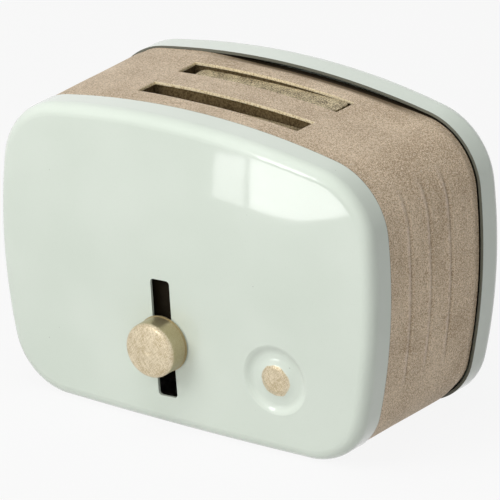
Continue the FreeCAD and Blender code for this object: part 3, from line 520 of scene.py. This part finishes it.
def crease_set_in(z, y):
    """The creases that divide the ribs: a soft groove with a low ridge in front of it, gone at both ends."""
    kept = smooth(z, 8.5 * MM, 13.5 * MM) * smooth(z, 38.5 * MM, 33.5 * MM)
    depth = 0.0
    for place in CREASES:
        off = (y - place) / MM
        depth += 0.30 * math.exp(-(off / 0.30) ** 2) - 0.15 * math.exp(-((off + 0.85) / 0.50) ** 2)
        depth += 0.06 * math.exp(-((off - 1.0) / 0.8) ** 2)
    return depth * kept * MM


def band_set_in(point, normal, y):
    """How far the band lies inside the covers' outline, at a point of the outline and a depth."""
    on_crown = smooth(normal.y, 0.80, 0.97)
    on_side = smooth(abs(normal.x), 0.72, 0.97)
    under = smooth(normal.y, -0.25, -0.8)
    depth = BAND_SET_IN + (crown_set_in(point.x, y) - BAND_SET_IN) * on_crown
    depth += crease_set_in(point.y, y) * on_side
    depth += lumps(Vector((point.x, y, point.y)) / LUMP_SIZE) * LUMP_DEPTH
    round_end = (1 - on_crown) * (1 - 0.6 * under)
    depth += 0.28 * MM * round_end * smooth(y, 8.8 * MM, 10.2 * MM)
    depth += 0.35 * MM * under * (1 - smooth(-normal.y, 0.9, 1.0)) * smooth(y, 7.5 * MM, 10 * MM)
    lap = max(LAP_SET_IN, depth + 0.1 * MM)
    rear_edge = FLANGE_EDGE - REAR_JOINT * (1 - on_crown) * (1 - under)
    behind = max(smooth(y, rear_edge - JOGGLE[0], rear_edge - JOGGLE[1]),
                 smooth(-y, FLANGE_EDGE - JOGGLE[0], FLANGE_EDGE - JOGGLE[1]))
    lap += 0.5 * MM * (1 - on_crown) * (1 - under) * smooth(y, 9 * MM, 10 * MM)
    return depth + (lap - depth) * behind


def band_lines():
    """Places along Y of the band's mesh lines: even, closer at the joggles, and on the slots' edges."""
    marks = [-BAND_REACH, -FLANGE_EDGE - 0.2 * MM, -FLANGE_EDGE + 0.3 * MM]
    marks += [edge for row in SLOT_ROWS for edge in row]
    marks += [FLANGE_EDGE - 1.0 * MM, FLANGE_EDGE + 0.1 * MM, BAND_REACH]
    lines = []
    for start, end in zip(marks, marks[1:]):
        off_joggle = min(abs(abs(start) - FLANGE_EDGE), abs(abs(end) - FLANGE_EDGE))
        fine = off_joggle < 0.31 * MM and abs(end - start) < 1.2 * MM
        lines += spaced(start, end, FINE_LINE_STEP if fine else LINE_STEP)
    return lines + [BAND_REACH]


def casing_band_piece(paint, cut_edge):
    """The band as a sheet with soft creases, a flattened crown, joggled laps and two bread slots."""
    builder = bmesh.new()
    around = outline(OUTLINE_STEP)
    along = band_lines()
    grid = []
    for point, normal in around:
        row = []
        for y in along:
            place = point - normal * band_set_in(point, normal, y)
            row.append(builder.verts.new((place.x, MIDDLE + y, place.y)))
        grid.append(row)
    for number, (point, normal) in enumerate(around[:-1]):
        x = (point.x + around[number + 1][0].x) / 2
        for line, y in enumerate(along[:-1]):
            middle = (y + along[line + 1]) / 2
            open_slot = any(low < middle < high for low, high in SLOT_ROWS)
            if open_slot and normal.y > 0.9 and abs(x) < SLOT_HALF_LENGTH - 0.01 * MM:
                continue
            builder.faces.new((grid[number][line], grid[number][line + 1], grid[number + 1][line + 1],
                               grid[number + 1][line]))
    bmesh.ops.delete(builder, geom=[vert for vert in builder.verts if not vert.link_faces], context="VERTS")
    bmesh.ops.recalc_face_normals(builder, faces=builder.faces)
    piece = mesh_piece("casing_band_sheet", builder, (paint, cut_edge))
    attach(piece, "casing")
    shape_with(piece, "sheet", "SOLIDIFY", thickness=BAND_SHEET, offset=-1, material_offset_rim=1)
    holes = screw_cutter()
    shape_with(piece, "countersinks", "BOOLEAN", operation="DIFFERENCE", object=holes, solver="EXACT")
    bpy.data.objects.remove(holes)
    shape_with(piece, "worn_edges", "BEVEL", width=WORN_EDGE, segments=2, limit_method="ANGLE",
               angle_limit=math.radians(50))
    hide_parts("casing_band")


def screw_cutter():
    """Cones that cut the countersinks of the base screws."""
    builder = bmesh.new()
    for x, y in BASE_SCREWS:
        place = Matrix.Translation((x, MIDDLE + y, BAND_SET_IN + BAND_SHEET / 2))
        bmesh.ops.create_cone(builder, cap_ends=True, segments=32, radius1=SCREW_HEAD * 1.1,
                              radius2=SCREW_SHANK * 0.9, depth=BAND_SHEET * 1.3, matrix=place)
    return mesh_piece("screw_cutter", builder)


# Scene

def dress_nodes(band_paint):
    """Gives each CAD piece its finish; small turned parts that aren't named here are plated steel."""
    steel = turned_steel()
    sheet = rolled_steel()
    dark = dark_sheet()
    tray = tray_gold()
    well = well_paint()
    gold = gold_paint("knob_gold")
    finishes = {
        "front_cover": mint_enamel("mint_front", True),
        "rear_cover": mint_enamel("mint_rear", False),
        "casing_band": band_paint,
        "lever_knob": gold,
        "knob_washer": gold,
        "bread_tray_front": tray,
        "bread_tray_rear": tray,
        "bread_well_front": well,
        "bread_well_rear": well,
        "slider_plate": dark,
        "slot_baffle": dark,
        "slider_guide_left": dark,
        "slider_guide_right": dark,
        "base_plate": sheet,
        "lifter_bridge": sheet,
    }
    for name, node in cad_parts.items():
        node.data.materials.clear()
        node.data.materials.append(finishes.get(name, steel))


FRAME_PIXELS = 500
FOCAL_PIXELS = 12000
PIXELS_PER_METRE = 7590
SENSOR = 0.036
AZIMUTH = 35.4
ELEVATION = 22.1
ROLL = math.radians(0.55)
AIM_HEIGHT = 21 * MM
AIM_PIXEL = (249.6, 244.8)
CLIP_RANGE = (0.05, 20)


def toward(azimuth, elevation):
    """The direction that lies that many degrees to the right of the front and above level."""
    a, e = math.radians(azimuth), math.radians(elevation)
    return Vector((math.sin(a) * math.cos(e), -math.cos(a) * math.cos(e), math.sin(e)))


def make_camera():
    """The camera of the photo, far off with a long lens, a little rolled."""
    data = bpy.data.cameras.new("camera")
    camera = in_scene("camera", data)
    data.sensor_width = SENSOR * 1000
    data.lens = SENSOR * 1000 * FOCAL_PIXELS / FRAME_PIXELS
    back = toward(AZIMUTH, ELEVATION)
    level = Vector((math.cos(math.radians(AZIMUTH)), math.sin(math.radians(AZIMUTH)), 0))
    above = back.cross(level)
    right = level * math.cos(ROLL) - above * math.sin(ROLL)
    up = back.cross(right)
    half = FRAME_PIXELS / 2
    aim = Vector((0, MIDDLE, AIM_HEIGHT))
    aim += right * (half - AIM_PIXEL[0]) / PIXELS_PER_METRE + up * (AIM_PIXEL[1] - half) / PIXELS_PER_METRE
    turned = Matrix((right, up, back)).transposed().to_4x4()
    camera.matrix_world = Matrix.Translation(aim + back * FOCAL_PIXELS / PIXELS_PER_METRE) @ turned
    data.clip_start, data.clip_end = CLIP_RANGE
    bpy.context.scene.camera = camera


WORLD_FILL = 0.12
WHITE = (1.0, 1.0, 1.0)
SOFTBOX_SIZE = 0.36
SOFTBOX_DISTANCE = 0.6
SOFTBOX_AIM_HEIGHT = 22 * MM
WINDOW_LEVEL = 6.2
PANE_LEVEL = WINDOW_LEVEL * 0.72
WINDOW_POINT = Vector((17.7, -14.0, 37.3)) * MM
WINDOW_SLANT = (-29.4, -18.3)
WINDOW_DISTANCE = 100 * MM
WALL_LEVEL = 3.0
LAMP_LEVEL = 7.0
LAMP_POINT = Vector((GOLD_SPOT.x, front_low.y + 1 * MM, GOLD_SPOT.y))
LAMP_SLANT = (-22, 32)
LAMP_DISTANCE = 75 * MM
FLOOR_HALF = 1.5
FLOOR_WHITE = 0.9


def softbox(name, azimuth, elevation, level):
    """A soft lamp; a level of 1 alone shows a surface that faces it in its own colour."""
    data = bpy.data.lights.new(name, "AREA")
    data.shape = "RECTANGLE"
    data.size = data.size_y = SOFTBOX_SIZE
    data.energy = level * (math.pi * SOFTBOX_DISTANCE) ** 2
    lamp = in_scene(name, data)
    away = toward(azimuth, elevation)
    lamp.location = Vector((0, MIDDLE, SOFTBOX_AIM_HEIGHT)) + away * SOFTBOX_DISTANCE
    lamp.rotation_mode = "QUATERNION"
    lamp.rotation_quaternion = away.to_track_quat("Z", "Y")
    lamp.visible_camera = False
    lamp.visible_glossy = False


def gloss_card(name, corners, level, near, far, point=WINDOW_POINT, slant=WINDOW_SLANT,
               distance=WINDOW_DISTANCE):
    """A bright card that only gloss shows, its corners in mm on a plane across the slant.

    Its colour goes from near at the top to far at the bottom.
    """
    away = toward(*slant)
    across = Vector((0, 0, 1)).cross(away).normalized()
    rise = away.cross(across)
    builder = bmesh.new()
    verts = [builder.verts.new(point + away * distance + (across * x + rise * y) * MM) for x, y in corners]
    builder.faces.new(verts)
    card = mesh_piece(name, builder)
    paint = new_paint(name)
    heights = [vert.co.z for vert in card.data.vertices]
    fade = paint.axes()[2].step(max(heights), min(heights))
    colour = paint.mixed(fade, near, far)
    light = paint.node("ShaderNodeEmission", None, {"Color": colour, "Strength": level})
    paint.node("ShaderNodeOutputMaterial", None, {"Surface": light})
    card.data.materials.append(paint.owner)
    card.visible_camera = False
    card.visible_diffuse = False
    card.visible_shadow = False
    card.visible_transmission = False


def make_lights():
    """Three soft lamps, the window and wall that the gloss shows, and a world that looks white."""
    softbox("front_softbox", 24, 22, 0.30)
    softbox("left_softbox", -30, 34, 0.50)
    softbox("top_softbox", -20, 78, 0.42)
    gloss_card("window_main", [(-8.9, 5.6), (-8.9, -3.2), (-4, -4.3), (1, -4.9), (6, -4.4), (11.2, -3.3),
                               (10.2, -0.8), (8.9, 1.0), (7.2, 2.4), (4.8, 3.6), (2, 4.5), (-3, 5.3)],
               WINDOW_LEVEL, WHITE, WHITE)
    gloss_card("window_side", [(-16.2, 5.9), (-16.7, -1.8), (-13, -2.6), (-10.2, -3.1), (-9.9, 5.7)],
               PANE_LEVEL, WHITE, (0.9, 0.9, 0.9))
    gloss_card("wall_panel", [(-7, -8.1), (-7.4, -27), (7.2, -28), (8.4, -9.3)], WALL_LEVEL,
               (0.62, 0.50, 0.52), (0.26, 0.25, 0.2))
    gloss_card("lamp_card", [(-7, -12), (7, -12), (7, 12), (-7, 12)], LAMP_LEVEL, WHITE, WHITE,
               LAMP_POINT, LAMP_SLANT, LAMP_DISTANCE)
    world = Paint(bpy.data.worlds.new("studio"))
    bpy.context.scene.world = world.owner
    shown = world.rays("Is Camera Ray", "Is Glossy Ray", "Is Transmission Ray")
    dim = world.node("ShaderNodeBackground", None, {"Color": opaque(WHITE), "Strength": WORLD_FILL})
    white_sky = world.node("ShaderNodeBackground", None, {"Color": opaque(WHITE), "Strength": 1.0})
    both = world.node("ShaderNodeMixShader", None, {0: shown, 1: dim, 2: white_sky})
    world.node("ShaderNodeOutputWorld", None, {"Surface": both})


def make_floor():
    """A pale floor that stays white in the picture and keeps the shadow."""
    builder = bmesh.new()
    bmesh.ops.create_grid(builder, x_segments=8, y_segments=8, size=FLOOR_HALF)
    paint = new_paint("floor")
    floor = mesh_piece("floor", builder, (paint.owner,))
    shown = paint.rays("Is Camera Ray", "Is Glossy Ray")
    grey = paint.mixed(paint.noise(0.03, 2.0).step(0.3, 0.7), (0.50, 0.50, 0.495), (0.53, 0.53, 0.525))
    matte = paint.node("ShaderNodeBsdfDiffuse", None, {"Color": grey})
    white = paint.node("ShaderNodeEmission", None, {"Color": opaque(WHITE), "Strength": 1.0})
    both = paint.node("ShaderNodeMixShader", None, {0: shown * FLOOR_WHITE, 1: matte, 2: white})
    paint.node("ShaderNodeOutputMaterial", None, {"Surface": both})


champagne = champagne_band()
dress_nodes(champagne)
casing_band_piece(champagne, highlit_cut_edge_gold())
make_camera()
make_lights()
make_floor()
bpy.context.scene.view_settings.view_transform = "Standard"
